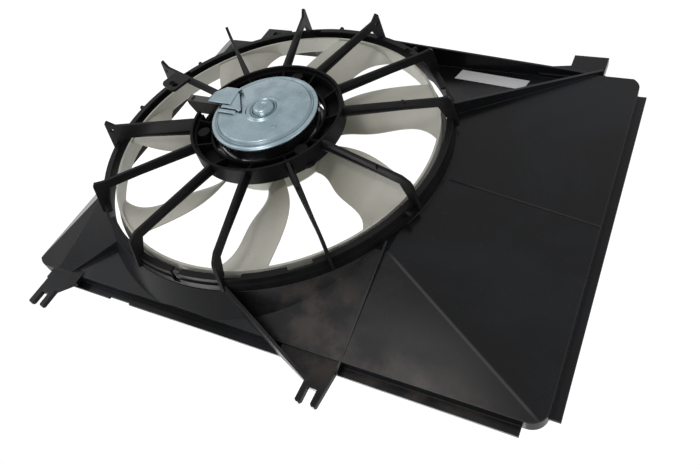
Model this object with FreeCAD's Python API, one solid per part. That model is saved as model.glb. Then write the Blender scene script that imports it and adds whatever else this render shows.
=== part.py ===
import FreeCAD, Part
import math
import os

V = FreeCAD.Vector

# Radiator cooling fan: a ducted panel with a seven-blade ring fan and its motor.
# Millimetres. X is right as seen from the radiator, Y goes from the radiator to the engine, Z is up.
# Shapes are drawn about the fan axis and moved at the end, so the origin is in the bottom seal strip.

# Fan: hub cup, blades and the ring that joins their tips.
BLADES = 7
FAN_R = 182.0
RING_WALL = 2.6
RING_FLANGE = 5.4
RING_Y0 = 34.0
RING_L = 20.0
HUB_WALL = 2.6
BLADE_T = 2.4
REST_TURN = -3.5
ROOT_MID = 66.5

# Motor: the can's radius sets the hub around it and the carrier behind it.
CAN_R = 57.0
CAN_WALL = 2.0
HUB_GAP = 3.9
MAGNET_T = 8.0
AIR_GAP = 1.0
CORE_L = 24.0
COMM_R = 14.0
SHAFT_R = 4.0
BUSH_CLEARANCE = 0.03
INSERT_R = 14.0
BUSH_R = 7.0
SCREW_R = 2.5
LEAD_Z = -13.0
CONN_Z = -6.5
CONN_H = 10.0
TONGUE_W = 8.0

# Duct, carrier and struts.
TIP_GAP = 5.0
DUCT_WALL = 4.0
CARRIER_W = 22.7
CARRIER_L = 20.0
SCREW_ANGLES = (30, 150, 270)
STRUT_ANGLES = (16, 45, 75, 104.5, 134.5, 163.5, 197.5, 225, 255, 285, 315, 341)
STRUT_T = 3.4
STRUT_L = 10.0

# Panel: a shallow tray whose back rises in flat slopes to the duct, with a seal strip all round.
SKIN = 2.6
WALL_H = 12.0
TRAY_W = 151.0
CORNER_R = 15.0
STRIP = 9.0
FORK_T = 5.0
FORK_SLOT = 9.3

# Depths and radii that follow from the sizes above.
RING_RO = FAN_R + RING_WALL
RING_FLANGE_R = RING_RO + RING_FLANGE
RING_Y1 = RING_Y0 + RING_L
HUB_R = CAN_R + HUB_GAP + HUB_WALL
HUB_Y0 = RING_Y0 - 7.0
HUB_Y1 = RING_Y1 + 3.0
DUCT_R = RING_FLANGE_R + TIP_GAP
DUCT_RO = DUCT_R + DUCT_WALL
DUCT_LIP_R = RING_FLANGE_R + 0.6
DUCT_Y0 = RING_Y0 + 2.0
DUCT_Y1 = RING_Y1 + 4.0
DUCT_STEP_Y = DUCT_Y1 - 7.0
CARRIER_RI = CAN_R + 5.3
CARRIER_R = CARRIER_RI + CARRIER_W
CARRIER_Y0 = DUCT_Y1 + 8.0
CARRIER_Y1 = CARRIER_Y0 + CARRIER_L
SCREW_PCR = CARRIER_RI + 9.2
CAN_Y0 = HUB_Y0 + 13.0
CAN_Y1 = CARRIER_Y1 + 4.0
COVER_R = CAN_R + 2.5
COVER_Y = CAN_Y1 + 3.0
MAGNET_RI = CAN_R - CAN_WALL - MAGNET_T
CORE_R = MAGNET_RI - AIR_GAP
CORE_Y0 = CAN_Y0 + 10.0
CORE_Y1 = CORE_Y0 + CORE_L
BRUSH_Y = CORE_Y1 + 9.0
NUT_Y = HUB_Y0 - 4.0
CONN_Y0 = CARRIER_Y0 + 4.4
CONN_Y1 = CARRIER_Y1 + 1.8
CONN_X0 = -CARRIER_R - 23.0
CONN_X1 = -CAN_R - 2.0
WALL_L = -DUCT_RO - 15.5
WALL_R = DUCT_RO + TRAY_W
WALL_B = -DUCT_RO - 14.0
WALL_T = DUCT_RO + 12.0
CAP_Y = DUCT_Y0 + 7.0
RIDGE_X = DUCT_RO - 17.0
RIDGE_Z = DUCT_RO - 91.0
FORK_A = (WALL_L + 44.1, 9.0)
FORK_B = (WALL_R - 189.8, 5.5)
FOOT_Y = 5.5
AXIS_X = -(WALL_L + WALL_R + 0.5) / 2
AXIS_Z = -(WALL_B - 5.0)


def cyl(r, y0, y1, x=0.0, z=0.0):
    return Part.makeCylinder(r, y1 - y0, V(x, y0, z), V(0, 1, 0))


def tube(ro, ri, y0, y1, x=0.0, z=0.0):
    return cyl(ro, y0, y1, x, z).cut(cyl(ri, y0 - 1, y1 + 1, x, z))


def box(x0, x1, y0, y1, z0, z1):
    return Part.makeBox(x1 - x0, y1 - y0, z1 - z0, V(x0, y0, z0))


def face(points):
    return Part.Face(Part.makePolygon(points + points[:1]))


def prism_xz(points, y0, y1):
    return face([V(x, y0, z) for x, z in points]).extrude(V(0, y1 - y0, 0))


def prism_xy(points, z0, z1):
    return face([V(x, y, z0) for x, y in points]).extrude(V(0, 0, z1 - z0))


def prism_zy(points, x0, x1):
    return face([V(x0, y, z) for z, y in points]).extrude(V(x1 - x0, 0, 0))


def revolve(points):
    return face([V(r, y, 0) for r, y in points]).revolve(V(0, 0, 0), V(0, 1, 0), 360)


def spin(shape, deg):
    turned = shape.copy()
    turned.rotate(V(0, 0, 0), V(0, -1, 0), deg)
    return turned


def polar(r, deg):
    return r * math.cos(math.radians(deg)), r * math.sin(math.radians(deg))


def join(shapes):
    return shapes[0].multiFuse(shapes[1:]).removeSplitter()


def upright(start, end, profile, thick):
    """Plate standing along a line in XZ; profile gives (distance from start, y) corners."""
    dx, dz = end[0] - start[0], end[1] - start[1]
    plate = face([V(s, y, -thick / 2) for s, y in profile]).extrude(V(0, 0, thick))
    plate.rotate(V(0, 0, 0), V(0, -1, 0), math.degrees(math.atan2(dz, dx)))
    plate.translate(V(start[0], 0, start[1]))
    return plate


# The rib that runs from the duct to the right foot; the panel lies lower on its outer side.
RIB_IN = (RIDGE_X - 2.0, -RIDGE_Z + 22.0)
RIB_OUT = (WALL_R - 41.0, WALL_B + 2.0)
LOW_PLANE = [(WALL_B - 8.0, 4.6), (WALL_B + 153.0, 28.0)]


def low_corner(d):
    (ax, az), (bx, bz) = RIB_IN, RIB_OUT
    return [(ax + d, az + d), (bx + d, bz + d), (bx + d, WALL_B - 5), (-60, WALL_B - 5),
            (-60, WALL_B + 63), (ax - 80, az + d)]


def tray(d, y_start):
    """The panel's outside for d = 0; taken in by d everywhere it is the hollow that makes the skin."""
    x0, x1, z0, z1 = WALL_L + d, WALL_R - d, WALL_B + d, WALL_T - d
    outline = box(x0, x1, y_start, CAP_Y - d, z0, z1)
    outline = outline.makeFillet(CORNER_R - d, [e for e in outline.Edges
                                                if abs(e.Vertexes[0].Y - e.Vertexes[1].Y) > 5])
    side = prism_xy([(x0, y_start), (x1, y_start), (x1, WALL_H - d), (RIDGE_X, CAP_Y - d),
                     (WALL_L + 46.5, CAP_Y - d), (x0, WALL_H - d)], z0 - 5, z1 + 5)
    top = prism_zy([(z1, y_start), (z1, WALL_H - d), (RIDGE_Z, CAP_Y - d), (WALL_B + 38, CAP_Y - d),
                    (z0, WALL_H - d), (z0, y_start)], x0 - 5, x1 + 5)
    solid = outline.common(side).common(top)
    (za, ya), (zb, yb) = LOW_PLANE
    low = prism_zy([(za, ya - d), (zb, yb - d), (zb, 60), (za, 60)], WALL_L - 20, WALL_R - 20)
    solid = solid.cut(low.common(prism_xz(low_corner(d), -5, 60)))
    collar = revolve([(0, y_start), (DUCT_RO + 16 - d, y_start), (DUCT_RO + 14 - d, WALL_H),
                      (DUCT_RO + 0.5 - d, CAP_Y - 0.5), (0, CAP_Y - 0.5)])
    walls = box(x0, x1, y_start, 60, z0, z1)
    (rx, rz), (lx, lz) = polar(DUCT_RO - 5, 122.4), polar(DUCT_RO - 2, 139.5)
    boss = prism_xz([(FORK_A[0] - 8.6 + 1.5 * d, WALL_T + 1 - d),
                     (FORK_A[0] + 10.4 - 1.5 * d, WALL_T + 1 - d), (rx, rz), (lx + d, lz)], y_start, 60)
    boss_top = prism_zy([(WALL_T + 9, y_start), (WALL_T + 9, 9.5 - d), (WALL_T - 71, 50 - d),
                         (WALL_T - 151, 50 - d), (WALL_T - 151, y_start)], WALL_L - 20, 0)
    return solid.fuse(collar.common(walls)).fuse(boss.common(boss_top).common(walls))


def fork(place, left, right, left_root, right_root):
    """Open-topped bolt fork; left and right are the prongs' outer sides from the slot's middle."""
    x, y = place
    half, top, base = FORK_SLOT / 2, WALL_T + 45.5, WALL_T + 30.4
    left_prong = [(-left, top - 1.5), (-left + 2, top), (-half - 2, top), (-half, top - 2), (-half, base)]
    right_prong = [(half, base), (half, top - 2), (half + 1.7, top), (right - 1.5, top), (right, top - 1.5)]
    outline = left_root + left_prong + right_prong + right_root
    return prism_xz([(x + px, pz) for px, pz in outline], y, y + FORK_T)


def panel():
    outer, inner = tray(0.0, 0.0), tray(SKIN, -1.0)
    strips = join([
        box(WALL_L + 17, WALL_R - 18, 0, SKIN, WALL_T - SKIN, WALL_T + STRIP),
        box(WALL_L + 14, WALL_R - 16, 0, SKIN, WALL_B - STRIP - 1, WALL_B + SKIN),
        box(WALL_L - STRIP + 0.5, WALL_L + SKIN, 0, SKIN, WALL_B + 6, WALL_T - 12),
        box(WALL_R - SKIN, WALL_R + STRIP, 0, SKIN, WALL_B + 17, WALL_T - 13)])
    root = WALL_T - 6
    fork_a = fork(FORK_A, 11.6, 10.4, [(-11.6, root)],
                  [(10.4, WALL_T + 25), (27.4, WALL_T + 9), (27.4, root)])
    fork_b = fork(FORK_B, 10.5, 10.6, [(-46.7, root), (-46.7, WALL_T + 9), (-10.5, WALL_T + 23)],
                  [(13.3, WALL_T + 10), (13.3, root)])
    xa, xb, zb = WALL_L + 49.5, WALL_R - 111, WALL_B
    low_a = prism_xz([(xa, zb + 5), (xa, zb - 37), (xa + 39.5, zb - 37), (xa + 39.5, zb - 17),
                      (xa + 57, zb - 9), (xa + 57, zb + 5)], FOOT_Y, FOOT_Y + FORK_T)
    low_a = low_a.cut(box(xa + 14, xa + 27.5, 0, 20, zb - 30, zb - 20))
    low_b = prism_xz([(xb, zb + 5), (xb, zb - 9), (xb + 32, zb - 16), (xb + 32, zb - 36),
                      (xb + 70.5, zb - 36), (xb + 70.5, zb + 5)], FOOT_Y, FOOT_Y + FORK_T)
    ears = [box(x, x + 3, 0, FOOT_Y + FORK_T, zb - 36, zb + 5) for x in (xb + 32, xb + 67.5)]
    parapet = prism_xy([(-130, 5), (WALL_R - 38, 5), (WALL_R - 38, 13), (WALL_R - 80, 18), (95, 33),
                        (20, 40), (-50, 40), (-130, 24)], WALL_B, WALL_B + SKIN)
    ribs = []
    for start, end, y_in, y_out, thick in (
            ((52, WALL_T - 19), (FORK_B[0] - 8.2, WALL_T + 25), 52.0, 10.5, 3.0),
            ((RIDGE_X - 4, RIDGE_Z - 8), (FORK_B[0] + 12.8, WALL_T + 10), 49.0, 9.0, 2.4),
            (RIB_IN, RIB_OUT, 58.0, 22.0, 3.0),
            ((DUCT_RO + 6, 4), (WALL_R - 1, 6), 39.9, 13.1, 1.4)):
        length = math.hypot(end[0] - start[0], end[1] - start[1])
        ribs.append(upright(start, end, [(0, 4), (length, 4), (length, y_out), (0, y_in)], thick))
    body = join([outer, strips, fork_a, fork_b, low_a, low_b, parapet] + ears + ribs)
    body = body.cut(inner).cut(cyl(DUCT_RO, -5, 80))
    notch_x = WALL_L + 126.5
    return body.cut(box(notch_x - 14, notch_x + 14, -1, SKIN + 1, WALL_T + STRIP - 2, WALL_T + STRIP + 5))


def duct():
    wall = revolve([(DUCT_R, DUCT_Y0), (DUCT_RO, DUCT_Y0), (DUCT_RO, DUCT_STEP_Y),
                    (DUCT_RO - 1.6, DUCT_STEP_Y), (DUCT_RO - 1.6, DUCT_Y1), (DUCT_LIP_R, DUCT_Y1),
                    (DUCT_LIP_R, DUCT_Y1 - 2.4), (DUCT_R, DUCT_Y1 - 2.4)])
    middle = (DUCT_LIP_R + DUCT_R) / 2
    lip_gaps = ((53, 24, 2.4), (73, 24, 2.4), (90, 9, 12), (128, 12, 2.4), (203, 16, 2.4), (256, 26, 2.4),
                (300, 10, 2.4), (328, 14, 2.4))
    for deg, width, depth in lip_gaps:
        out = DUCT_RO + 5 if depth > 2.4 else middle + 2.1
        gap = box(middle - 7, out, DUCT_Y1 - depth, DUCT_Y1 + 1, -width / 2, width / 2)
        wall = wall.cut(spin(gap, deg))
    pegs = []
    for deg in (-60, -93, -121, -149, -177, 20):
        peg = Part.makeCylinder(2.6, 9, V(DUCT_RO - 3.5, DUCT_Y1 - 4, 0), V(1, 0, 0))
        pegs.append(spin(peg, deg).cut(cyl(DUCT_R + 0.5, 30, 80)))
    return join([wall] + pegs)


# Rise of each strut's outer end above the strut; the others end low on the duct.
SPIKES = {134.5: 1.0, 163.5: 6.0, 197.5: 6.5, 225: 5.5, 255: 5.5, 285: 5.5, 315: 0.5, 341: 0.5}
DEEP_STRUT, CABLE_STRUT = STRUT_ANGLES[5], STRUT_ANGLES[6]
NUBS = {16: (CARRIER_R + 70,), 45: (CARRIER_R + 38,), 341: (CARRIER_R + 62,)}


def struts():
    keep_out = revolve([(0, 30), (DUCT_RO, 30), (DUCT_RO, DUCT_STEP_Y), (DUCT_RO - 1.6, DUCT_STEP_Y),
                        (DUCT_RO - 1.6, DUCT_Y1), (0, DUCT_Y1)])
    rear, foot, end = CARRIER_Y1 - 1.0, CARRIER_R - 3, DUCT_RO - 13
    made = []
    for deg in STRUT_ANGLES:
        front = CARRIER_Y0 + 0.5 if deg == DEEP_STRUT else rear + 0.5 - STRUT_L
        tip = rear + SPIKES.get(deg, -4.0)
        web = face([V(r, y, -STRUT_T / 2) for r, y in (
            (foot, front), (foot, rear + 0.5), (end, rear - 0.5), (DUCT_RO - 4.5, tip),
            (DUCT_RO - 2, tip - 3), (DUCT_RO + 4.5, DUCT_Y1 - 10), (DUCT_RO - 0.5, DUCT_Y1 - 13),
            (DUCT_RO - 7, DUCT_Y1 - 1), (end - 3, front - 1))]).extrude(V(0, 0, STRUT_T))
        wide = STRUT_T / 2 if deg == CABLE_STRUT else 4.2
        flange = prism_xz([(foot, -wide), (foot, wide), (end - 8, STRUT_T / 2), (end - 8, -STRUT_T / 2)],
                          front, front + 2.2)
        strut = web.fuse(flange)
        for r in NUBS.get(deg, ()):
            strut = strut.fuse(box(r, r + 3, rear - 3, rear + 2.2, 0, STRUT_T / 2 + 1.5))
        if deg in (DEEP_STRUT, CABLE_STRUT, 285):
            strut = strut.cut(Part.makeCylinder(2.4, 8, V(DUCT_RO - 7, rear - 7, -4), V(0, 0, 1)))
        if deg == CABLE_STRUT:
            corners = ((33, 0), (33, -22), (37, -26), (57, -28), (61, -25), (61, 0))
            plate = prism_xz([(DUCT_RO - r, w) for r, w in corners], rear - 2.5, rear + 0.5)
            slot = box(DUCT_RO - 54, DUCT_RO - 46, 60, 99, -22.2, -14.8)
            slot = join([slot] + [cyl(3.7, 60, 99, DUCT_RO - r, -18.5) for r in (46, 54)])
            strut = strut.fuse(plate.cut(slot))
        strut = strut.cut(keep_out).cut(cyl(CARRIER_R, 60, 99))
        made.append(spin(strut.removeSplitter(), deg))
    return Part.makeCompound(made)


def carrier():
    ring = tube(CARRIER_R, CARRIER_R - 2.8, CARRIER_Y0, CARRIER_Y1)
    inner = tube(CARRIER_RI + 2.5, CARRIER_RI, CARRIER_Y0, CARRIER_Y1 - 9)
    ledge = tube(CARRIER_R - 2, CARRIER_R - 5.5, CARRIER_Y0, CARRIER_Y1 - 5)
    floor = tube(CARRIER_R - 1, CARRIER_RI + 1, CARRIER_Y0, CARRIER_Y0 + 2.6)
    web = prism_xy([(CARRIER_RI + 1, CARRIER_Y0), (CARRIER_R - 1, CARRIER_Y0),
                    (CARRIER_R - 1, CARRIER_Y1 - 3), (CARRIER_RI + 1, CARRIER_Y1 - 10)], -1, 1)
    parts = [ring, inner, ledge, floor] + [spin(web, 15 + 30 * k) for k in range(12)]
    for deg in SCREW_ANGLES:
        x, z = polar(SCREW_PCR, deg)
        parts.append(cyl(7, CARRIER_Y0, CARRIER_Y1 - 5, x, z))
        x, z = polar(CARRIER_R - 8, deg)
        parts.append(cyl(10, CARRIER_Y0, CARRIER_Y0 + 4, x, z).cut(cyl(CARRIER_RI + 1, 50, 90)))
    body = join(parts)
    for deg in SCREW_ANGLES:
        x, z = polar(SCREW_PCR, deg)
        body = body.cut(cyl(4, CARRIER_Y0 - 1, CARRIER_Y0 + 14, x, z))
    half = CONN_H / 2
    return body.cut(box(-CARRIER_R - 10, -CARRIER_RI + 12, CONN_Y0 - 0.4, CARRIER_Y1 + 9,
                        CONN_Z - half - 0.6, CONN_Z + half + 12))


def ring_of(shape, angles):
    return Part.makeCompound([spin(shape, deg) for deg in angles])


def hub():
    flat_r = HUB_R - 16.5
    cup = revolve([(0, HUB_Y0), (flat_r - 2, HUB_Y0), (flat_r, HUB_Y0 + 0.4), (HUB_R - 4, HUB_Y0 + 3.6),
                   (HUB_R - 1.2, HUB_Y0 + 5.2), (HUB_R, HUB_Y0 + 8), (HUB_R, HUB_Y1),
                   (HUB_R - HUB_WALL, HUB_Y1), (HUB_R - HUB_WALL, HUB_Y0 + 8.6), (HUB_R - 5, HUB_Y0 + 6.4),
                   (flat_r - 1, HUB_Y0 + 2.9), (17, HUB_Y0 + 2.8), (17, HUB_Y0 + 6.4), (0, HUB_Y0 + 6.4)])
    cup = cup.cut(cyl(INSERT_R, HUB_Y0 - 1, HUB_Y0 + 10))
    cup = cup.cut(tube(INSERT_R + 5.5, INSERT_R, HUB_Y0 - 1, HUB_Y0 + 0.7))
    rib = prism_xy([(INSERT_R + 2, HUB_Y0 + 2), (flat_r, HUB_Y0 + 2), (HUB_R - 1.5, HUB_Y0 + 6.5),
                    (HUB_R - 1.5, HUB_Y0 + 10), (INSERT_R + 2, HUB_Y0 + 6)], -0.8, 0.8)
    mark = prism_xy([(flat_r + 2, HUB_Y0 + 0.5), (flat_r + 13, HUB_Y0 + 2.9), (flat_r + 13, HUB_Y0 + 5),
                     (flat_r + 2, HUB_Y0 + 2)], -0.9, 0.9)
    ribs = [spin(rib, 180.0 / BLADES * k + REST_TURN) for k in range(2 * BLADES)]
    marks = [spin(mark, 360.0 / BLADES * k + ROOT_MID + REST_TURN) for k in range(BLADES)]
    return join([cup] + ribs + marks)


# Blade sections: share of the way from hub to ring, leading and trailing edge angle, and how far the
# leading edge stands behind the ring's front and the trailing edge before the ring's back.
BLADE_SECTIONS = ((-0.05, 77.0, 56.0, -1.0, -0.5), (0.34, 80.5, 55.0, -1.0, 0.0),
                  (0.69, 82.0, 61.0, 1.0, 1.0), (0.865, 86.0, 64.3, 2.0, 1.5),
                  (0.965, 92.0, 66.0, 2.5, 2.0), (1.065, 103.0, 67.0, 3.0, 2.5))


def blades():
    wires = []
    for share, lead, trail, lead_in, trail_in in BLADE_SECTIONS:
        r = HUB_R + share * (FAN_R - HUB_R)
        y_lead, y_trail = RING_Y0 + lead_in, RING_Y1 - trail_in
        mid = math.radians((lead + trail) / 2)
        half = r * math.radians(lead - trail) / 2
        out = V(math.cos(mid), 0, math.sin(mid))
        along = V(-math.sin(mid), 0, math.cos(mid))
        camber = 0.09 * half
        front, back = [], []
        for s in (-1.0, -0.5, 0.0, 0.5, 1.0):
            y = (y_trail + y_lead) / 2 + s * (y_lead - y_trail) / 2 + camber * (1 - s * s)
            t = BLADE_T / 2 * (1.0 if abs(s) < 1 else 0.45)
            spot = out * r + along * (s * half)
            front.append(spot + V(0, y - t, 0))
            back.append(spot + V(0, y + t, 0))
        first, second = Part.BSplineCurve(), Part.BSplineCurve()
        first.interpolate(front)
        second.interpolate(back)
        wires.append(Part.Wire([first.toShape(), Part.makeLine(front[-1], back[-1]), second.toShape(),
                                Part.makeLine(back[0], front[0])]))
    blade = Part.makeLoft(wires, True, False)
    blade = blade.common(tube(FAN_R, HUB_R, HUB_Y0 - 7, HUB_Y1 + 13))
    return ring_of(blade, [360.0 / BLADES * k + REST_TURN for k in range(BLADES)])


def fan_ring():
    return revolve([(FAN_R, RING_Y0 + 1.4), (FAN_R + 1.4, RING_Y0), (RING_FLANGE_R, RING_Y0),
                    (RING_FLANGE_R, RING_Y0 + 2.2), (RING_RO, RING_Y0 + 3), (RING_RO, RING_Y1),
                    (FAN_R, RING_Y1)])


def can():
    body = revolve([(BUSH_R, CAN_Y0 - 5.6), (BUSH_R + 3, CAN_Y0 - 5.6), (BUSH_R + 3, CAN_Y0),
                    (CAN_R - 5, CAN_Y0), (CAN_R, CAN_Y0 + 5), (CAN_R, CAN_Y1), (CAN_R - CAN_WALL, CAN_Y1),
                    (CAN_R - CAN_WALL, CAN_Y0 + 5), (CAN_R - 6, CAN_Y0 + CAN_WALL),
                    (BUSH_R, CAN_Y0 + CAN_WALL)])
    lugs = [tube(CAN_R + 3, CAN_R - 1, CARRIER_Y0 - 3, CARRIER_Y0)]
    for deg in SCREW_ANGLES:
        lug = prism_xz([(CAN_R - 1, -17), (CAN_R - 1, 17), (SCREW_PCR + 4, 7.5), (SCREW_PCR + 7.5, 4),
                        (SCREW_PCR + 7.5, -4), (SCREW_PCR + 4, -7.5)], CARRIER_Y0 - 3, CARRIER_Y0)
        lugs.append(spin(lug, deg))
    body = join([body] + [lug.cut(cyl(CAN_R - 1, CARRIER_Y0 - 9, CARRIER_Y0 + 9)) for lug in lugs])
    for deg in SCREW_ANGLES:
        x, z = polar(SCREW_PCR, deg)
        body = body.cut(cyl(SCREW_R + 0.3, CARRIER_Y0 - 9, CARRIER_Y0 + 9, x, z))
    half = TONGUE_W / 2 + 0.4
    return body.cut(box(CONN_X1 - 5, -CAN_R + 12, BRUSH_Y - 0.4, BRUSH_Y + 2.4,
                        CONN_Z - half, CONN_Z + half))


def cover():
    y = COVER_Y
    plate = revolve([(0, y + 4), (0, y + 5.6), (8, y + 5.6), (10, y + 4.2), (11, y + 1.8), (18, y + 1.2),
                     (22, y), (COVER_R - 4, y), (COVER_R - 3, y - 1.2), (COVER_R - 0.6, y - 1.2),
                     (COVER_R, y - 1.8), (COVER_R, CAN_Y1 - 3.5), (CAN_R + 0.3, CAN_Y1 - 3.5),
                     (CAN_R + 0.3, CAN_Y1), (BUSH_R, CAN_Y1), (BUSH_R, y + 4)])
    tab = prism_xy([(-COVER_R - 11.5, y + 0.3), (-COVER_R - 11.5, y + 2.4), (-COVER_R - 10, y + 3.4),
                    (-42, y + 3.4), (-27, y), (-27, y - 1), (-COVER_R, y - 1), (-COVER_R - 2, y + 0.3)],
                   LEAD_Z - 10, LEAD_Z + 17)
    tab = tab.cut(prism_xz([(-COVER_R - 16, LEAD_Z - 11), (-COVER_R - 5, LEAD_Z - 11),
                            (-COVER_R - 16, LEAD_Z + 2)], y - 5, y + 9))
    ledge = prism_xy([(-COVER_R + 3, y - 1), (-COVER_R + 3, y + 1.2), (-32, y + 1.2), (-27, y),
                      (-27, y - 1)], LEAD_Z + 17, LEAD_Z + 30)
    body = join([plate, tab, ledge])
    body = body.cut(cyl(BUSH_R, y - 13, y + 4)).cut(cyl(1.6, y - 13, y + 9, -COVER_R - 6.5, LEAD_Z - 1))
    for x, z in ((27, -32), (26, 22)):
        body = body.cut(Part.makeSphere(3.2, V(x, y + 2.2, z)))
    return body


def arc_block(ro, ri, y0, y1, span):
    half = span / 2.0
    reach = ro * 2
    wedge = prism_xz([(0, 0), polar(reach, -half), (reach, 0), polar(reach, half)], y0, y1)
    return tube(ro, ri, y0, y1).common(wedge)


def winding():
    ends = [tube(CORE_R - 4, COMM_R + 3, y, y + 5) for y in (CORE_Y0 - 5, CORE_Y1)]
    bar = box(CORE_R - 16, CORE_R - 5, CORE_Y0 - 1, CORE_Y1 + 1, -3.4, 3.4)
    return join(ends + [spin(bar, 30 * k) for k in range(12)])


def core(coils):
    stack = tube(CORE_R, SHAFT_R, CORE_Y0, CORE_Y1)
    mouth = box(CORE_R - 8, CORE_R + 4, CORE_Y0 - 1, CORE_Y1 + 1, -1.2, 1.2)
    return stack.cut(coils).cut(join([spin(mouth, 30 * k) for k in range(12)]))


def commutator():
    y0 = CORE_Y1 + 5
    body = tube(COMM_R, SHAFT_R, y0, BRUSH_Y + 7).fuse(tube(COMM_R + 2.5, SHAFT_R, y0, y0 + 2))
    slot = box(COMM_R - 1.4, COMM_R + 4, CORE_Y1, BRUSH_Y + 9, -0.3, 0.3)
    return body.cut(join([spin(slot, 30 * k) for k in range(12)]))


BRUSH_ANGLES = (45, 135, 225, 315)
BRUSH_W, BRUSH_H, BRUSH_L = 8.0, 4.4, 14.4
GUIDE_T = 2.0


def tongue(x0):
    return box(x0, -CAN_R + 17, BRUSH_Y, BRUSH_Y + 2, CONN_Z - TONGUE_W / 2, CONN_Z + TONGUE_W / 2)


def brush_plate():
    parts = [tube(CAN_R - CAN_WALL - 0.4, COMM_R + 5, BRUSH_Y, BRUSH_Y + 2), tongue(CONN_X1 - 4)]
    half, y0, y1 = BRUSH_W / 2 + 0.2, BRUSH_Y + 2, BRUSH_Y + 2 + BRUSH_H
    stop = box(COMM_R + 24, COMM_R + 26, y0, y1, -half - GUIDE_T, half + GUIDE_T)
    for deg in BRUSH_ANGLES:
        for z in (-half - GUIDE_T, half):
            parts.append(spin(box(COMM_R + 6, COMM_R + 26, y0, y1, z, z + GUIDE_T), deg))
        parts.append(spin(stop, deg))
    return join(parts)


def brush_spring():
    coil = Part.makeHelix(2.4, 8.4, 1.7)
    ring = Part.Wire(Part.makeCircle(0.35, V(1.7, 0, 0), V(0, 1, 0)))
    spring = Part.Wire(coil.Edges).makePipeShell([ring], True, True)
    spring.rotate(V(0, 0, 0), V(0, 1, 0), 90)
    spring.translate(V(COMM_R + BRUSH_L + 0.4, BRUSH_Y + 2 + BRUSH_H / 2, 0))
    return spring


def terminals():
    return Part.makeCompound([box(CONN_X0 + 5, CONN_X1 - 4.2, BRUSH_Y + 0.6, BRUSH_Y + 1.4, z - 1.3, z + 1.3)
                              for z in (CONN_Z - 2.1, CONN_Z + 2.1)])


def connector():
    half = CONN_H / 2
    shell = box(CONN_X0, CONN_X1, CONN_Y0, CONN_Y1, CONN_Z - half, CONN_Z + half)
    slope = prism_xy([(CONN_X0 - 1, CONN_Y0 - 1), (CONN_X0 + 6, CONN_Y0 - 1), (CONN_X0 - 1, CONN_Y1 - 3)],
                     CONN_Z - half - 1, CONN_Z + half + 1)
    shell = shell.cut(slope)
    shell = shell.cut(box(CONN_X0 - 1, CONN_X0 + 17, CONN_Y0 + 2.4, CONN_Y1 - 1.8, CONN_Z - half + 1.2,
                          CONN_Z + half - 1.2))
    shell = shell.cut(tongue(CONN_X1 - 4)).cut(terminals())
    catch = box(CONN_X0 + 4, CONN_X0 + 6, CONN_Y1, CONN_Y1 + 1.6, CONN_Z - 3, CONN_Z + 3)
    return shell.fuse(catch).removeSplitter()


def screw(head_y, tip_y):
    x = SCREW_PCR
    flange, head = cyl(4.9, head_y, head_y + 1.2, x), cyl(4.2, head_y - 3.4, head_y, x)
    body = flange.fuse(head).fuse(cyl(SCREW_R, head_y, tip_y, x))
    cross = box(x - 0.6, x + 0.6, head_y - 4, head_y - 1.8, -2.4, 2.4)
    return body.cut(cross.fuse(box(x - 2.4, x + 2.4, head_y - 4, head_y - 1.8, -0.6, 0.6)))


def hexagon(flat, y0, y1):
    r = flat / math.sqrt(3.0)
    return prism_xz([polar(r, 60 * k + 30) for k in range(6)], y0, y1)


def bore_d(y0, y1):
    return cyl(SHAFT_R, y0, y1).cut(box(SHAFT_R - 0.8, SHAFT_R + 4, y0, y1, -8, 8))


def shaft():
    collar_y = HUB_Y0 + 6.4
    body = cyl(SHAFT_R, collar_y, COVER_Y + 3.6).fuse(cyl(SHAFT_R + 2, collar_y, collar_y + 0.7))
    return body.fuse(bore_d(HUB_Y0 - 5, collar_y)).removeSplitter()


def label():
    corners = ((146.5, 7.5), (231.7, 17.1), (228.8, 38), (143.3, 28.4))
    plate = prism_xz([(x, WALL_B + z) for x, z in corners], -10, 60)
    (za, ya), (zb, yb) = LOW_PLANE
    return plate.common(prism_zy([(za, ya), (zb, yb), (zb, yb + 0.35), (za, ya + 0.35)], 100, 300))


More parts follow.
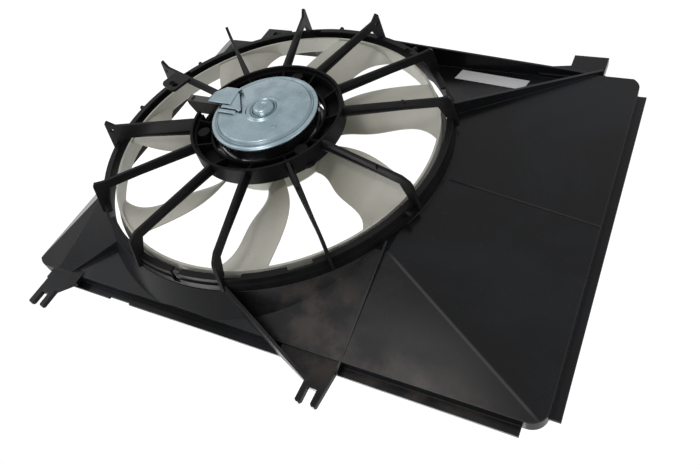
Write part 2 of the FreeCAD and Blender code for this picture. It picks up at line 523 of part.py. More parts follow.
coils = winding()
strut_set = struts()
insert_y = HUB_Y0 + 3.0
nodes = {
    "shroud_panel": panel().cut(strut_set),
    "fan_duct": duct(),
    "motor_struts": strut_set,
    "motor_carrier": carrier(),
    "screw_inserts": ring_of(tube(4, SCREW_R, CARRIER_Y0 + 0.2, CARRIER_Y0 + 14, SCREW_PCR),
                             SCREW_ANGLES),
    "motor_screws": ring_of(screw(CARRIER_Y0 - 4.2, CARRIER_Y0 + 12), SCREW_ANGLES),
    "motor_can": can(),
    "motor_cover": cover(),
    "field_magnets": ring_of(arc_block(CAN_R - CAN_WALL, MAGNET_RI, CORE_Y0 - 4, CORE_Y1 + 4, 68),
                             (0, 90, 180, 270)),
    "front_bush": tube(BUSH_R, SHAFT_R + BUSH_CLEARANCE, CAN_Y0 - 5.2, CAN_Y0 + 1.6),
    "rear_bush": tube(BUSH_R, SHAFT_R + BUSH_CLEARANCE, CAN_Y1 + 1, COVER_Y + 3.4),
    "brush_plate": brush_plate(),
    "brushes": ring_of(box(COMM_R + 0.05, COMM_R + BRUSH_L, BRUSH_Y + 2, BRUSH_Y + 2 + BRUSH_H,
                           -BRUSH_W / 2, BRUSH_W / 2), BRUSH_ANGLES),
    "brush_springs": ring_of(brush_spring(), BRUSH_ANGLES),
    "connector_shell": connector(),
    "terminals": terminals(),
    "blank_label": label(),
    "fan_hub": hub(),
    "fan_blades": blades(),
    "fan_ring": fan_ring(),
    "hub_insert": cyl(INSERT_R, insert_y, insert_y + 3.4).cut(bore_d(insert_y - 1, insert_y + 5)),
    "hub_washer": tube(SHAFT_R + 5, SHAFT_R, insert_y - 1.4, insert_y),
    "fan_nut": hexagon(13, NUT_Y, insert_y - 1.4).cut(cyl(SHAFT_R, NUT_Y - 5, insert_y + 5)),
    "motor_shaft": shaft(),
    "armature_core": core(coils),
    "armature_winding": coils,
    "commutator": commutator(),
}

os.makedirs("parts", exist_ok=True)
for name, shape in nodes.items():
    shape.translate(V(AXIS_X, 0, AXIS_Z))
    shape.exportStep("parts/" + name + ".step")
    print(name, "solids", len(shape.Solids), "valid", shape.isValid(), "volume", round(shape.Volume))
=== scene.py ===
import bpy, bmesh, math
from mathutils import Matrix, Vector


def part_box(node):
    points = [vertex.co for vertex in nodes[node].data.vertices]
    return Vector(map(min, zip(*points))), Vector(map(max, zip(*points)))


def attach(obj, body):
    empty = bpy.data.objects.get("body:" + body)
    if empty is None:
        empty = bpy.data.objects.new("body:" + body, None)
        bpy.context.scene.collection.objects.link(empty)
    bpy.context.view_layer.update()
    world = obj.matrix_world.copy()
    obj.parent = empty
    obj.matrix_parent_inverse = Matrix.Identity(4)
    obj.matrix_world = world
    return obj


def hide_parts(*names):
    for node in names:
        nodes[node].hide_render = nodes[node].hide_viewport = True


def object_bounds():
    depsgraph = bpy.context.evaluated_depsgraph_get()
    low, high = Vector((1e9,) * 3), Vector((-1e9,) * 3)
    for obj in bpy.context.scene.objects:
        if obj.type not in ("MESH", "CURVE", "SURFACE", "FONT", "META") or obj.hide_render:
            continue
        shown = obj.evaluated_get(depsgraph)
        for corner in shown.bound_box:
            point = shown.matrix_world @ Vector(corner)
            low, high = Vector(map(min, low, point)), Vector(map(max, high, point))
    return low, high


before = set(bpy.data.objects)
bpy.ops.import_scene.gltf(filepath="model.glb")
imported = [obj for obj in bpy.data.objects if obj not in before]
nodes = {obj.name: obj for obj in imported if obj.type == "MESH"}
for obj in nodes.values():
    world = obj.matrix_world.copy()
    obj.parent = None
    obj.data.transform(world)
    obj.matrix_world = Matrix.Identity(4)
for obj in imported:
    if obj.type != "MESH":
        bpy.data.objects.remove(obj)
cad_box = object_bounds()


# Camera. The right-hand view of the photograph: from the engine side, above the motor and a little to its
# right, rolled so that the bolt forks point down to the left.
camera = bpy.data.objects.new("camera", bpy.data.cameras.new("camera"))
bpy.context.scene.collection.objects.link(camera)
bpy.context.scene.camera = camera
look = Vector((-0.4173, -0.7450, -0.5205)).normalized()
right = Vector((0.8860, -0.2062, -0.4153))
right = (right - look * right.dot(look)).normalized()
up = right.cross(look)
stand = Matrix.Translation(Vector((0.3172, 0.4970, 0.6278)))
camera.matrix_world = stand @ Matrix((right, up, -look)).transposed().to_4x4()
sensor_mm, focal_px, width_px = 36.0, 633.0, 700.0
camera.data.sensor_width = sensor_mm
camera.data.lens = sensor_mm * focal_px / width_px
camera.data.shift_x, camera.data.shift_y = 0.006, -0.006
camera.data.clip_start, camera.data.clip_end = 0.01, 50.0


# Studio. A white paper sweep lies under the part in a white room, with soft round lamps above, in front and
# on both sides. Camera, glossy and transmission rays see the room and the sweep as plain white.
def lamp(name, place, size, watts, aim=(0, 0.05, 0.22), colour=(1.0, 1.0, 1.0)):
    light = bpy.data.lights.new(name, "AREA")
    light.color = colour
    light.shape, light.size, light.energy = "DISK", size, watts
    obj = bpy.data.objects.new(name, light)
    bpy.context.scene.collection.objects.link(obj)
    obj.location = place
    obj.rotation_mode = "QUATERNION"
    obj.rotation_quaternion = (Vector(aim) - Vector(place)).to_track_quat("-Z", "Y")
    obj.visible_camera = False


def feed(tree, sockets, values):
    for socket, value in zip(sockets, values):
        if hasattr(value, "is_linked"):
            tree.links.new(value, socket)
        else:
            socket.default_value = value


def maths(tree, operation, *values):
    made = tree.nodes.new("ShaderNodeMath")
    made.operation = operation
    feed(tree, made.inputs, values)
    return made.outputs[0]


def background_rays(tree):
    path = tree.nodes.new("ShaderNodeLightPath")
    seen = path.outputs["Is Camera Ray"]
    for kind in ("Is Glossy Ray", "Is Transmission Ray"):
        seen = maths(tree, "MAXIMUM", seen, path.outputs[kind])
    return seen


lamp("lamp_over", (0.3, 0.7, 2.1), 1.4, 11)
lamp("lamp_engine_side", (-1.6, 1.5, 0.5), 1.2, 5)
lamp("lamp_low_rear", (-0.28, 1.53, 0.83), 0.5, 6.0, (0.1, 0.03, 0.4), (1.0, 0.95, 0.91))
lamp("lamp_front", (-0.8, -2.0, 1.4), 1.8, 38)
lamp("lamp_right", (2.2, 0.2, 0.8), 1.4, 6)

world = bpy.data.worlds.new("white_room")
bpy.context.scene.world = world
world.use_nodes = True
room = world.node_tree
back = room.nodes["Background"]
back.inputs["Color"].default_value = (1, 1, 1, 1)
lit = room.nodes.new("ShaderNodeMapRange")
lit.inputs["To Min"].default_value = 0.36
lit.inputs["To Max"].default_value = 1.0
room.links.new(background_rays(room), lit.inputs["Value"])
room.links.new(lit.outputs["Result"], back.inputs["Strength"])

floor_gap, floor_r = 0.0005, 9.0
bm = bmesh.new()
bmesh.ops.create_circle(bm, cap_ends=True, segments=96, radius=floor_r)
bmesh.ops.translate(bm, verts=bm.verts, vec=(0, 0, cad_box[0].z - floor_gap))
floor_mesh = bpy.data.meshes.new("floor")
bm.to_mesh(floor_mesh)
bm.free()
floor = bpy.data.objects.new("floor", floor_mesh)
bpy.context.scene.collection.objects.link(floor)
sweep = bpy.data.materials.new("white_sweep")
sweep.use_nodes = True
tree = sweep.node_tree
tree.nodes.clear()
out = tree.nodes.new("ShaderNodeOutputMaterial")
paper = tree.nodes.new("ShaderNodeBsdfDiffuse")
paper.inputs["Color"].default_value = (0.9, 0.9, 0.9, 1)
glow = tree.nodes.new("ShaderNodeEmission")
glow.inputs["Strength"].default_value = 1.15
mix = tree.nodes.new("ShaderNodeMixShader")
tree.links.new(maths(tree, "MULTIPLY", background_rays(tree), 0.84), mix.inputs["Fac"])
tree.links.new(paper.outputs[0], mix.inputs[1])
tree.links.new(glow.outputs[0], mix.inputs[2])
tree.links.new(mix.outputs[0], out.inputs["Surface"])
floor_mesh.materials.append(sweep)
bpy.context.scene.view_settings.view_transform = "Standard"


# Panel. One thin moulding in black polypropylene: a tray with sloped faces, seal strips, forks and feet.
# Its satin skin has a fine moulded grain, faint flow clouds and specks of dust. Hands have left two dull
# brownish spots at the rear near the top. Outer edges at the rear are painted paler, as rubbed wear and as a
# painted edge highlight, and the longest crease's ridge carries a painted highlight.
def shader_group(name, inputs, outputs):
    group = bpy.data.node_groups.new(name, "ShaderNodeTree")
    for label, kind, value in inputs:
        group.interface.new_socket(label, in_out="INPUT", socket_type=kind).default_value = value
    for label, kind in outputs:
        group.interface.new_socket(label, in_out="OUTPUT", socket_type=kind)
    return group, group.nodes.new("NodeGroupInput"), group.nodes.new("NodeGroupOutput")


def noise(tree, vector, scale, detail, rough):
    made = tree.nodes.new("ShaderNodeTexNoise")
    tree.links.new(vector, made.inputs["Vector"])
    made.inputs["Scale"].default_value = scale
    made.inputs["Detail"].default_value = detail
    made.inputs["Roughness"].default_value = rough
    return made.outputs["Fac"]


def spread(tree, value, low, high, to_low=0.0, to_high=1.0):
    made = tree.nodes.new("ShaderNodeMapRange")
    made.interpolation_type = "SMOOTHSTEP"
    tree.links.new(value, made.inputs["Value"])
    for label, number in (("From Min", low), ("From Max", high), ("To Min", to_low), ("To Max", to_high)):
        made.inputs[label].default_value = number
    return made.outputs["Result"]


skin_group, g_in, g_out = shader_group(
    "moulded_skin",
    [("Vector", "NodeSocketVector", (0, 0, 0)), ("Grain", "NodeSocketFloat", 900.0),
     ("Cloud", "NodeSocketFloat", 9.0)],
    [("Height", "NodeSocketFloat"), ("Clouds", "NodeSocketFloat"), ("Specks", "NodeSocketFloat")])
fine = skin_group.nodes.new("ShaderNodeTexNoise")
fine.inputs["Detail"].default_value = 3.0
skin_group.links.new(g_in.outputs["Vector"], fine.inputs["Vector"])
skin_group.links.new(g_in.outputs["Grain"], fine.inputs["Scale"])
skin_group.links.new(fine.outputs["Fac"], g_out.inputs["Height"])
broad = skin_group.nodes.new("ShaderNodeTexNoise")
broad.inputs["Detail"].default_value = 5.0
broad.inputs["Roughness"].default_value = 0.62
broad.inputs["Distortion"].default_value = 0.6
skin_group.links.new(g_in.outputs["Vector"], broad.inputs["Vector"])
skin_group.links.new(g_in.outputs["Cloud"], broad.inputs["Scale"])
skin_group.links.new(spread(skin_group, broad.outputs["Fac"], 0.36, 0.68), g_out.inputs["Clouds"])
speck = noise(skin_group, g_in.outputs["Vector"], 260.0, 2.0, 0.5)
skin_group.links.new(spread(skin_group, speck, 0.66, 0.74), g_out.inputs["Specks"])


def new_material(name, roughness, metallic=0.0):
    made = bpy.data.materials.new(name)
    made.use_nodes = True
    shader = made.node_tree.nodes["Principled BSDF"]
    shader.inputs["Roughness"].default_value = roughness
    shader.inputs["Metallic"].default_value = metallic
    coord = made.node_tree.nodes.new("ShaderNodeTexCoord")
    return made, made.node_tree, shader, coord.outputs["Object"]


def colour_mix(tree, share, first, second):
    made = tree.nodes.new("ShaderNodeMix")
    made.data_type = "RGBA"
    tree.links.new(share, made.inputs["Factor"])
    colours = [value if hasattr(value, "is_linked") else (*value, 1.0) for value in (first, second)]
    feed(tree, (made.inputs[6], made.inputs[7]), colours)
    return made.outputs[2]


def tint(tree, shader, share, colour):
    under = shader.inputs["Base Color"].links[0].from_socket
    tree.links.new(colour_mix(tree, share, under, colour), shader.inputs["Base Color"])


def product(tree, first, *others):
    for other in others:
        first = maths(tree, "MULTIPLY", first, other)
    return first


def vector_maths(tree, operation, *values):
    made = tree.nodes.new("ShaderNodeVectorMath")
    made.operation = operation
    feed(tree, made.inputs, values)
    return made.outputs["Value" if operation in ("LENGTH", "DOT_PRODUCT") else "Vector"]


ring_low, ring_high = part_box("fan_ring")
axis_x, axis_z = (ring_low.x + ring_high.x) / 2, (ring_low.z + ring_high.z) / 2
ring_r = (ring_high.x - ring_low.x) / 2


def from_axis(tree, place):
    across = tree.nodes.new("ShaderNodeMapping")
    across.inputs["Location"].default_value = (-axis_x, 0.0, -axis_z)
    across.inputs["Scale"].default_value = (1.0, 0.0, 1.0)
    tree.links.new(place, across.inputs["Vector"])
    return across.outputs["Vector"], vector_maths(tree, "LENGTH", across.outputs["Vector"])


def rounded_normal(tree, radius, samples):
    made = tree.nodes.new("ShaderNodeBevel")
    made.samples = samples
    made.inputs["Radius"].default_value = radius
    return made.outputs["Normal"]


def bump(tree, shader, height, distance, strength=1.0):
    made = tree.nodes.new("ShaderNodeBump")
    made.inputs["Distance"].default_value = distance
    made.inputs["Strength"].default_value = strength
    tree.links.new(rounded_normal(tree, 0.0006, 6), made.inputs["Normal"])
    tree.links.new(height, made.inputs["Height"])
    tree.links.new(made.outputs["Normal"], shader.inputs["Normal"])


def moulding(name, base, cloud, dust, roughness, swing, grain=900.0, clouds=9.0, depth=0.00004):
    made, tree, shader, place = new_material(name, roughness)
    skin = tree.nodes.new("ShaderNodeGroup")
    skin.node_tree = skin_group
    tree.links.new(place, skin.inputs["Vector"])
    skin.inputs["Grain"].default_value = grain
    skin.inputs["Cloud"].default_value = clouds
    body = colour_mix(tree, skin.outputs["Clouds"], base, cloud)
    tree.links.new(colour_mix(tree, skin.outputs["Specks"], body, dust), shader.inputs["Base Color"])
    gloss = spread(tree, skin.outputs["Clouds"], 0.0, 1.0, roughness - swing, roughness + swing)
    tree.links.new(gloss, shader.inputs["Roughness"])
    bump(tree, shader, skin.outputs["Height"], depth)
    return made, tree, shader, place


def dress(name, material):
    for held in nodes[name].material_slots:
        held.material = material
    if not nodes[name].material_slots:
        nodes[name].data.materials.append(material)


black_pp, tree, shader, place = moulding(
    "black_polypropylene", (0.0050, 0.0053, 0.0060), (0.0082, 0.0090, 0.0115), (0.012, 0.012, 0.012),
    0.30, 0.06)
shader.inputs["Specular IOR Level"].default_value = 0.135
facing = tree.nodes.new("ShaderNodeSeparateXYZ")
tree.links.new(place.node.outputs["Normal"], facing.inputs[0])
rear_side = spread(tree, facing.outputs["Y"], 0.1, 0.4)

wipes = spread(tree, noise(tree, place, 38.0, 5.0, 0.62), 0.34, 0.64)
handled_spots = [((0.067, 0.022, 0.403), (1.0, 1.0, 1.0), 0.075),
                 ((0.165, 0.022, 0.437), (0.42, 0.5, 1.5), 0.050)]
for middle, squeeze, radius in handled_spots:
    from_spot = vector_maths(tree, "SUBTRACT", place, middle)
    away = vector_maths(tree, "LENGTH", vector_maths(tree, "MULTIPLY", from_spot, squeeze))
    handled = product(tree, rear_side, spread(tree, away, radius * 0.2, radius, 1.0, 0.0), wipes)
    tint(tree, shader, handled, (0.040, 0.033, 0.030))

# Outer edges at the rear, outside the collar, are painted paler where the rounded normal turns from the true
# one: partly rubbed wear, partly a painted edge highlight.
true_normal = tree.nodes.new("ShaderNodeNewGeometry").outputs["Normal"]
agree = vector_maths(tree, "DOT_PRODUCT", rounded_normal(tree, 0.0018, 4), true_normal)
collar_r = ring_r + 0.027
outside = spread(tree, from_axis(tree, place)[1], collar_r, collar_r + 0.020)
worn_and_highlit_edges = product(tree, spread(tree, agree, 0.985, 0.998, 1.0, 0.0), outside, rear_side)
tint(tree, shader, worn_and_highlit_edges, (0.028, 0.028, 0.030))

# Painted highlight: a pale strip a few millimetres wide along the longest crease's ridge, on the rear side.
crease_start, crease_end = Vector((0.114, 0.0, 0.326)), Vector((0.2765, 0.0, 0.4256))
along = (crease_end - crease_start).normalized()
beside = Vector((-along.z, 0.0, along.x))
from_crease = vector_maths(tree, "SUBTRACT", place, (crease_start + crease_end) / 2)
painted_crease_highlight = rear_side
for direction, near, far in ((beside, 0.0002, 0.0021), (along, 0.080, 0.100)):
    offset = maths(tree, "ABSOLUTE", vector_maths(tree, "DOT_PRODUCT", from_crease, direction))
    painted_crease_highlight = product(tree, painted_crease_highlight, spread(tree, offset, near, far, 1.0, 0.0))
tint(tree, shader, painted_crease_highlight, (0.043, 0.043, 0.045))
dress("shroud_panel", black_pp)


# Ring duct and struts. The same moulding's cylindrical wall, with its stepped rim, lip and pegs, and the
# twelve thin struts that carry the motor. They come out of the tool a little duller than the panel.
black_ribs, _, shader, _ = moulding(
    "black_ribs", (0.0055, 0.0055, 0.006), (0.009, 0.009, 0.0095), (0.018, 0.017, 0.016),
    0.42, 0.05, 1100.0, 22.0)
shader.inputs["Specular IOR Level"].default_value = 0.09
for name in ("fan_duct", "motor_struts"):
    dress(name, black_ribs)


# Motor carrier. The moulding's ring around the motor, in the same black polypropylene as the struts that
# hold it. Its webs and pockets are the dullest part of the shroud.
carrier_black, _, shader, _ = moulding(
    "carrier_black", (0.0050, 0.0050, 0.0054), (0.0078, 0.0078, 0.0082), (0.014, 0.0135, 0.013),
    0.48, 0.05, 1100.0, 22.0)
shader.inputs["Specular IOR Level"].default_value = 0.045
dress("motor_carrier", carrier_black)


# Fan. Hub cup, blades and ring are one moulding in undyed glass-filled nylon, off-white with a grey-green
# cast.
# Painted shading by distance from the axis makes it darker and more olive over the hub's flat face than on
# its shoulder, and palest further out along the blades, standing in for light through the thinner nylon.
# Painted shade darkens the blade roots and creases. Seven pale gate marks on the shoulder show where the melt
# came in, one to each blade.
# Painted shade: darkens the base colour where the Ambient Occlusion node finds nearby surfaces, in creases,
# recesses and between parts.
def paint_crease_shade(tree, shader, colour, reach, low=0.45, high=0.95):
    shade = tree.nodes.new("ShaderNodeAmbientOcclusion")
    shade.samples = 8
    shade.inputs["Distance"].default_value = reach
    tint(tree, shader, spread(tree, shade.outputs["AO"], low, high, 1.0, 0.0), colour)


natural, tree, shader, place = moulding(
    "natural_nylon", (0.43, 0.43, 0.38), (0.39, 0.39, 0.34), (0.36, 0.355, 0.31),
    0.44, 0.06, 700.0, 14.0, 0.00003)
shader.inputs["Subsurface Weight"].default_value = 0.08
shader.inputs["Subsurface Scale"].default_value = 0.004
hub_low, hub_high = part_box("fan_hub")
hub_r = (hub_high.x - hub_low.x) / 2
across, reach = from_axis(tree, place)
# Painted shading by distance from the axis: darker over the hub's flat face, paler on its shoulder and
# further out along the blades.
on_shoulder = spread(tree, reach, hub_r - 0.0165, hub_r - 0.0145)
hub_tone = colour_mix(tree, on_shoulder, (0.245, 0.250, 0.198), (0.290, 0.290, 0.235))

blades, first_mark = 7, math.radians(63.0)
around = tree.nodes.new("ShaderNodeSeparateXYZ")
tree.links.new(across, around.inputs[0])
turn = maths(tree, "ARCTAN2", around.outputs["Z"], around.outputs["X"])
beat = maths(tree, "COSINE", maths(tree, "MULTIPLY_ADD", turn, blades, -first_mark * blades))
gate_mark = product(tree, spread(tree, beat, 0.982, 0.996),
                    spread(tree, reach, hub_r - 0.0150, hub_r - 0.0135),
                    spread(tree, reach, hub_r - 0.0045, hub_r - 0.0030, 1.0, 0.0))
hub_tone = colour_mix(tree, gate_mark, hub_tone, (0.41, 0.41, 0.35))
blade_tone = shader.inputs["Base Color"].links[0].from_socket
outward = spread(tree, reach, hub_r - 0.002, hub_r + 0.085)
tree.links.new(colour_mix(tree, outward, hub_tone, blade_tone), shader.inputs["Base Color"])
# Painted shade at the blade roots, around the hub's rim and in the fan's other creases.
paint_crease_shade(tree, shader, (0.09, 0.09, 0.068), 0.007, 0.30, 0.75)
for name in ("fan_hub", "fan_blades", "fan_ring"):
    dress(name, natural)


# Motor cover. Pressed from zinc-plated sheet: a rolled rim over the can, a step inside it, a dished ring and
# a domed boss over the rear bush, two stake marks, and a raised tab with two ledges that reaches over the
# connector. The sheet shows stains, fine rolling lines and a slightly uneven gloss.
metal_group, g_in, g_out = shader_group(
    "rolled_metal", [("Vector", "NodeSocketVector", (0, 0, 0)), ("Scale", "NodeSocketFloat", 60.0)],
    [("Height", "NodeSocketFloat"), ("Stain", "NodeSocketFloat")])
stain = metal_group.nodes.new("ShaderNodeTexNoise")
stain.inputs["Detail"].default_value = 6.0
stain.inputs["Roughness"].default_value = 0.6
metal_group.links.new(g_in.outputs["Vector"], stain.inputs["Vector"])
metal_group.links.new(g_in.outputs["Scale"], stain.inputs["Scale"])
metal_group.links.new(spread(metal_group, stain.outputs["Fac"], 0.38, 0.66), g_out.inputs["Stain"])
stretch = metal_group.nodes.new("ShaderNodeMapping")
stretch.inputs["Scale"].default_value = (60.0, 60.0, 2600.0)
stretch.inputs["Rotation"].default_value = (0.0, 0.6, 0.0)
metal_group.links.new(g_in.outputs["Vector"], stretch.inputs["Vector"])
metal_group.links.new(noise(metal_group, stretch.outputs["Vector"], 1.0, 2.0, 0.5), g_out.inputs["Height"])


def metal(name, base, stain_colour, roughness, swing, scale):
    made, tree, shader, place = new_material(name, roughness, 1.0)
    group = tree.nodes.new("ShaderNodeGroup")
    group.node_tree = metal_group
    tree.links.new(place, group.inputs["Vector"])
    group.inputs["Scale"].default_value = scale
    tree.links.new(colour_mix(tree, group.outputs["Stain"], base, stain_colour), shader.inputs["Base Color"])
    gloss = spread(tree, group.outputs["Stain"], 0.0, 1.0, roughness - swing, roughness + swing)
    tree.links.new(gloss, shader.inputs["Roughness"])
    bump(tree, shader, group.outputs["Height"], 0.00001, 0.5)
    return made, tree, shader


def spun(bm, profile, centre, steps=96):
    points = [bm.verts.new((centre.x + r, y, centre.z)) for r, y in profile]
    line = [bm.edges.new(pair) for pair in zip(points, points[1:])]
    bmesh.ops.spin(bm, geom=points + line, cent=centre, axis=(0, 1, 0), angle=math.tau, steps=steps,
                   use_merge=True)


def prism(bm, outline, depth, round_by, axis="z"):
    place = {"z": lambda a, b, c: (a, b, c), "y": lambda a, b, c: (a, c, b)}[axis]
    base = bm.faces.new([bm.verts.new(place(a, b, depth[0])) for a, b in outline])
    far = bmesh.ops.extrude_face_region(bm, geom=[base])["geom"]
    moved = [part for part in far if isinstance(part, bmesh.types.BMVert)]
    bmesh.ops.translate(bm, verts=moved, vec=place(0, 0, depth[1] - depth[0]))
    edges = {edge for point in set(base.verts) | set(moved) for edge in point.link_edges}
    bmesh.ops.bevel(bm, geom=list(edges), offset=round_by, segments=3, profile=0.5, affect="EDGES",
                    material=-1)


def settle(name, bm, material, body, replaced):
    bmesh.ops.remove_doubles(bm, verts=bm.verts, dist=0.00001)
    bmesh.ops.recalc_face_normals(bm, faces=bm.faces)
    mesh = bpy.data.meshes.new(name)
    for flat in bm.faces:
        flat.smooth = True
    bm.to_mesh(mesh)
    bm.free()
    mesh.set_sharp_from_angle(angle=math.radians(35.0))
    mesh.materials.append(material)
    obj = bpy.data.objects.new(name, mesh)
    bpy.context.scene.collection.objects.link(obj)
    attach(obj, body)
    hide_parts(replaced)


zinc_cover, tree, shader = metal("zinc_plated_cover", (0.27, 0.34, 0.375), (0.21, 0.275, 0.31),
                                 0.30, 0.06, 45.0)
# Painted shade and painted dark reflection, teal-tinted, in the cover's creases around the tab, ledges,
# stakes and boss.
paint_crease_shade(tree, shader, (0.035, 0.06, 0.07), 0.006)
cover_low, cover_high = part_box("motor_cover")
motor = Vector((axis_x, 0.0, axis_z))
boss_h = 0.0056
cover_r = cover_high.x - motor.x
bore_r = cover_r - 0.0022
plate_y, skirt_y = cover_high.y - boss_h, cover_low.y

# Both lists hold heights over the plate: the boss at radii from the axis, the rim at steps in from its edge.
boss = [(0.0, 0.0040), (0.0036, 0.0040), (0.0046, 0.0046), (0.0056, 0.0054), (0.0072, boss_h),
        (0.0092, 0.0052), (0.0108, 0.0038), (0.0118, 0.0018), (0.0128, 0.0004), (0.0142, 0.0003),
        (0.0154, 0.0013), (0.0166, 0.0021), (0.0182, 0.0021), (0.0194, 0.0012), (0.0204, 0.0002),
        (0.0212, 0.0)]
rim = [(0.0098, 0.0), (0.0089, -0.0004), (0.0080, -0.0018), (0.0070, -0.0029), (0.0056, -0.0031),
       (0.0044, -0.0023), (0.0030, -0.0019), (0.0016, -0.0023), (0.0006, -0.0034), (0.0, -0.0050)]
skirt = [(cover_r, skirt_y + 0.0004), (cover_r - 0.0006, skirt_y), (bore_r, skirt_y),
         (bore_r, plate_y - 0.0036)]
bm = bmesh.new()
spun(bm, [(r, plate_y + rise) for r, rise in boss] + [(cover_r - step, plate_y + rise) for step, rise in rim]
     + skirt, motor)
stake = [(0.0, 0.0002), (0.0009, 0.0003), (0.0016, 0.0009), (0.0023, 0.0008), (0.0029, 0.0001),
         (0.0031, -0.0004)]
for x, z in ((0.027, -0.032), (0.026, 0.022)):
    spun(bm, [(r, plate_y + rise) for r, rise in stake], motor + Vector((x, 0, z)), 28)

tab_end, tab_side, lead_z = cover_low.x, 0.0165, motor.z - 0.013
prism(bm, [(tab_end + 0.0105, lead_z - 0.0100), (tab_end + 0.030, lead_z - 0.0100),
           (motor.x - 0.043, lead_z - 0.0060), (motor.x - 0.040, lead_z + tab_side),
           (tab_end, lead_z + tab_side), (tab_end, lead_z + 0.0010)],
      (plate_y + 0.0004, plate_y + 0.0034), 0.0008, "y")
prism(bm, [(motor.x - 0.044, lead_z - 0.0040), (motor.x - 0.041, lead_z - 0.0040),
           (motor.x - 0.0235, lead_z + 0.0215), (motor.x - 0.0255, lead_z + 0.0240),
           (motor.x - 0.044, lead_z + tab_side)],
      (plate_y - 0.0004, plate_y + 0.0024), 0.0010, "y")
ledge_root, ledge_base = motor.x - cover_r + 0.0090, plate_y - 0.0010
for near, far, height in ((0.0170, 0.0220, 0.0026), (0.0232, 0.0284, 0.0019)):
    prism(bm, [(ledge_root, ledge_base), (ledge_root, plate_y + height), (motor.x - 0.030, plate_y + height),
               (motor.x - 0.027, ledge_base)], (lead_z + near, lead_z + far), 0.0010)
settle("pressed_cover", bm, zinc_cover, "shroud", "motor_cover")


# Motor screws. Three hexagon flange screws that hold the motor to the carrier's bosses from the fan's side.
# They are cold-headed steel with a dark phosphate finish.
dress("motor_screws", metal("phosphated_steel", (0.085, 0.085, 0.083), (0.055, 0.055, 0.055),
                            0.42, 0.07, 240.0)[0])


# Shaft. A ground steel bar through both bushes, with a flat for the insert and a threaded end for the nut.
# Only its end shows, in front of the hub.
dress("motor_shaft", metal("ground_steel", (0.20, 0.20, 0.20), (0.14, 0.14, 0.14), 0.24, 0.05, 300.0)[0])


# Insert. A dull steel ring moulded into the hub's centre, which takes the shaft's drive. Its face has fine
# radial teeth near its rim.
insert_steel, tree, shader = metal("insert_steel", (0.155, 0.155, 0.15), (0.10, 0.10, 0.095),
                                   0.36, 0.07, 240.0)
# Painted shade in the insert's teeth and recesses.
paint_crease_shade(tree, shader, (0.03, 0.03, 0.028), 0.003)
insert_low, insert_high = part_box("hub_insert")
insert_r = (insert_high.x - insert_low.x) / 2
shaft_r, teeth, tooth_depth = 0.0040, 36, 0.00045
bm = bmesh.new()
spun(bm, [(shaft_r, insert_high.y), (shaft_r, insert_low.y), (insert_r - 0.0050, insert_low.y),
          (insert_r - 0.0034, insert_low.y), (insert_r - 0.0018, insert_low.y),
          (insert_r - 0.0005, insert_low.y + 0.0002), (insert_r, insert_low.y + 0.0008),
          (insert_r, insert_high.y), (shaft_r, insert_high.y)], motor, 2 * teeth)
bmesh.ops.remove_doubles(bm, verts=bm.verts, dist=0.00001)
for point in bm.verts:
    out, lift = point.co.x - motor.x, point.co.z - motor.z
    toothed = insert_r - 0.0040 < math.hypot(out, lift) < insert_r - 0.0002
    if toothed and point.co.y < insert_low.y + 0.0004:
        step = round(math.atan2(lift, out) / math.tau * 2 * teeth)
        point.co.y += tooth_depth if step % 2 else 0.0
settle("toothed_insert", bm, insert_steel, "rotor", "hub_insert")


# Washer. A dished washer in zinc-plated steel, stamped from sheet and pressed to a shallow cone, between the
# insert and the nut.
zinc_small, tree, shader = metal("zinc_plated_nut", (0.34, 0.34, 0.33), (0.24, 0.24, 0.23), 0.27, 0.07, 240.0)
# Painted shade in the crevices of the washer and nut.
paint_crease_shade(tree, shader, (0.05, 0.05, 0.048), 0.003)
washer_low, washer_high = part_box("hub_washer")
washer_r = (washer_high.x - washer_low.x) / 2
bm = bmesh.new()
spun(bm, [(shaft_r, washer_low.y), (shaft_r + 0.0016, washer_low.y),
          (washer_r - 0.0022, washer_low.y + 0.0002),
          (washer_r - 0.0006, washer_high.y - 0.0005), (washer_r, washer_high.y - 0.0003),
          (washer_r, washer_high.y), (shaft_r, washer_high.y), (shaft_r, washer_low.y)], motor, 72)
settle("dished_washer", bm, zinc_small, "rotor", "hub_washer")


# Nut. A hexagon nut in the same zinc-plated steel, turned on the shaft's threaded end to clamp the fan.
# Its corners are chamfered all round.
nut_low, nut_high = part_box("fan_nut")
nut_r = (nut_high.z - nut_low.z) / 2
bm = bmesh.new()
spun(bm, [(shaft_r, nut_low.y), (nut_r, nut_low.y), (nut_r, nut_high.y), (shaft_r, nut_high.y),
          (shaft_r, nut_low.y)], motor, 6)
bmesh.ops.remove_doubles(bm, verts=bm.verts, dist=0.00001)
bmesh.ops.rotate(bm, verts=bm.verts, cent=motor, matrix=Matrix.Rotation(math.radians(30), 3, "Y"))
bmesh.ops.bevel(bm, geom=list(bm.edges), offset=0.00045, segments=2, profile=0.5, affect="EDGES",
                material=-1)
settle("hexagon_nut", bm, zinc_small, "rotor", "fan_nut")


# Motor can. A cup deep-drawn from steel sheet, closed at the fan's side and held in the carrier's bore.
# It is dipped in glossy black enamel.
enamel, _, shader, _ = moulding(
    "black_enamel", (0.006, 0.006, 0.007), (0.009, 0.010, 0.010), (0.02, 0.02, 0.02),
    0.24, 0.05, 300.0, 30.0, 0.00002)
shader.inputs["Specular IOR Level"].default_value = 0.25
shader.inputs["Coat Weight"].default_value = 0.3
shader.inputs["Coat Roughness"].default_value = 0.12
dress("motor_can", enamel)


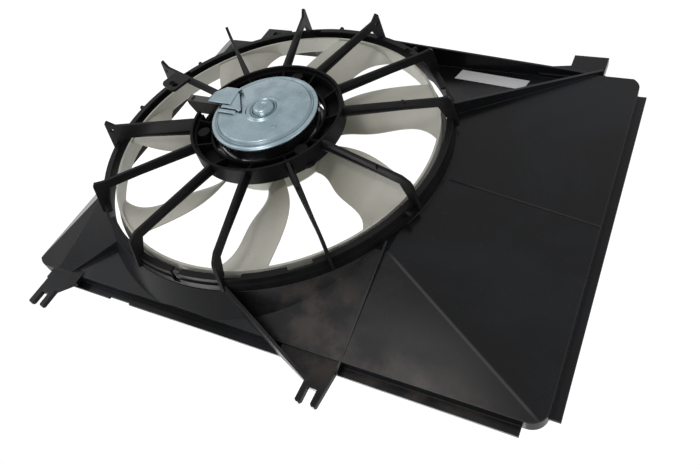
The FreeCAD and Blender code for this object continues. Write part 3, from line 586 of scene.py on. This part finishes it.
# Connector block and terminals. A block moulded in black nylon, glossier than the shroud, held under the
# cover's tab. Two blades stamped from tinned brass stand in its mouth.
dress("connector_shell", moulding(
    "black_connector", (0.012, 0.012, 0.013), (0.016, 0.016, 0.017), (0.03, 0.03, 0.03),
    0.33, 0.05, 1200.0, 40.0)[0])
dress("terminals", metal("tinned_brass", (0.66, 0.64, 0.58), (0.56, 0.53, 0.45), 0.30, 0.06, 300.0)[0])


# Label. A blank strip of white plastic film, stuck flat on the panel's slope. Its face has a faint satin
# grain.
dress("blank_label", moulding(
    "white_film", (0.60, 0.61, 0.63), (0.57, 0.58, 0.60), (0.50, 0.50, 0.50),
    0.34, 0.04, 500.0, 30.0, 0.00001)[0])


# Inside the motor. Ferrite magnets, oiled bronze bushes, pressed carbon brushes with wire springs on a
# phenolic plate, brass inserts in the carrier, and the armature: stacked sheet, enamelled copper and a
# turned commutator.
bronze = metal("oiled_bronze", (0.45, 0.29, 0.14), (0.34, 0.21, 0.10), 0.42, 0.08, 400.0)
inside = {
    "field_magnets": moulding("ferrite", (0.05, 0.05, 0.054), (0.07, 0.07, 0.073), (0.10, 0.10, 0.10),
                              0.60, 0.08),
    "brush_plate": moulding("phenolic_board", (0.17, 0.085, 0.04), (0.13, 0.065, 0.03), (0.24, 0.15, 0.09),
                            0.52, 0.08),
    "brushes": moulding("pressed_carbon", (0.035, 0.035, 0.036), (0.05, 0.05, 0.05), (0.12, 0.12, 0.12),
                        0.48, 0.08),
    "front_bush": bronze,
    "rear_bush": bronze,
    "brush_springs": metal("spring_wire", (0.42, 0.42, 0.43), (0.34, 0.34, 0.35), 0.30, 0.05, 400.0),
    "screw_inserts": metal("turned_brass", (0.68, 0.50, 0.22), (0.56, 0.40, 0.17), 0.30, 0.05, 400.0),
    "armature_core": metal("stacked_sheet", (0.22, 0.22, 0.23), (0.16, 0.15, 0.15), 0.48, 0.08, 200.0),
    "armature_winding": metal("enamelled_copper", (0.55, 0.24, 0.10), (0.44, 0.18, 0.07), 0.30, 0.06, 500.0),
    "commutator": metal("turned_copper", (0.72, 0.38, 0.22), (0.55, 0.27, 0.15), 0.28, 0.06, 300.0),
}
for name, made in inside.items():
    dress(name, made[0])
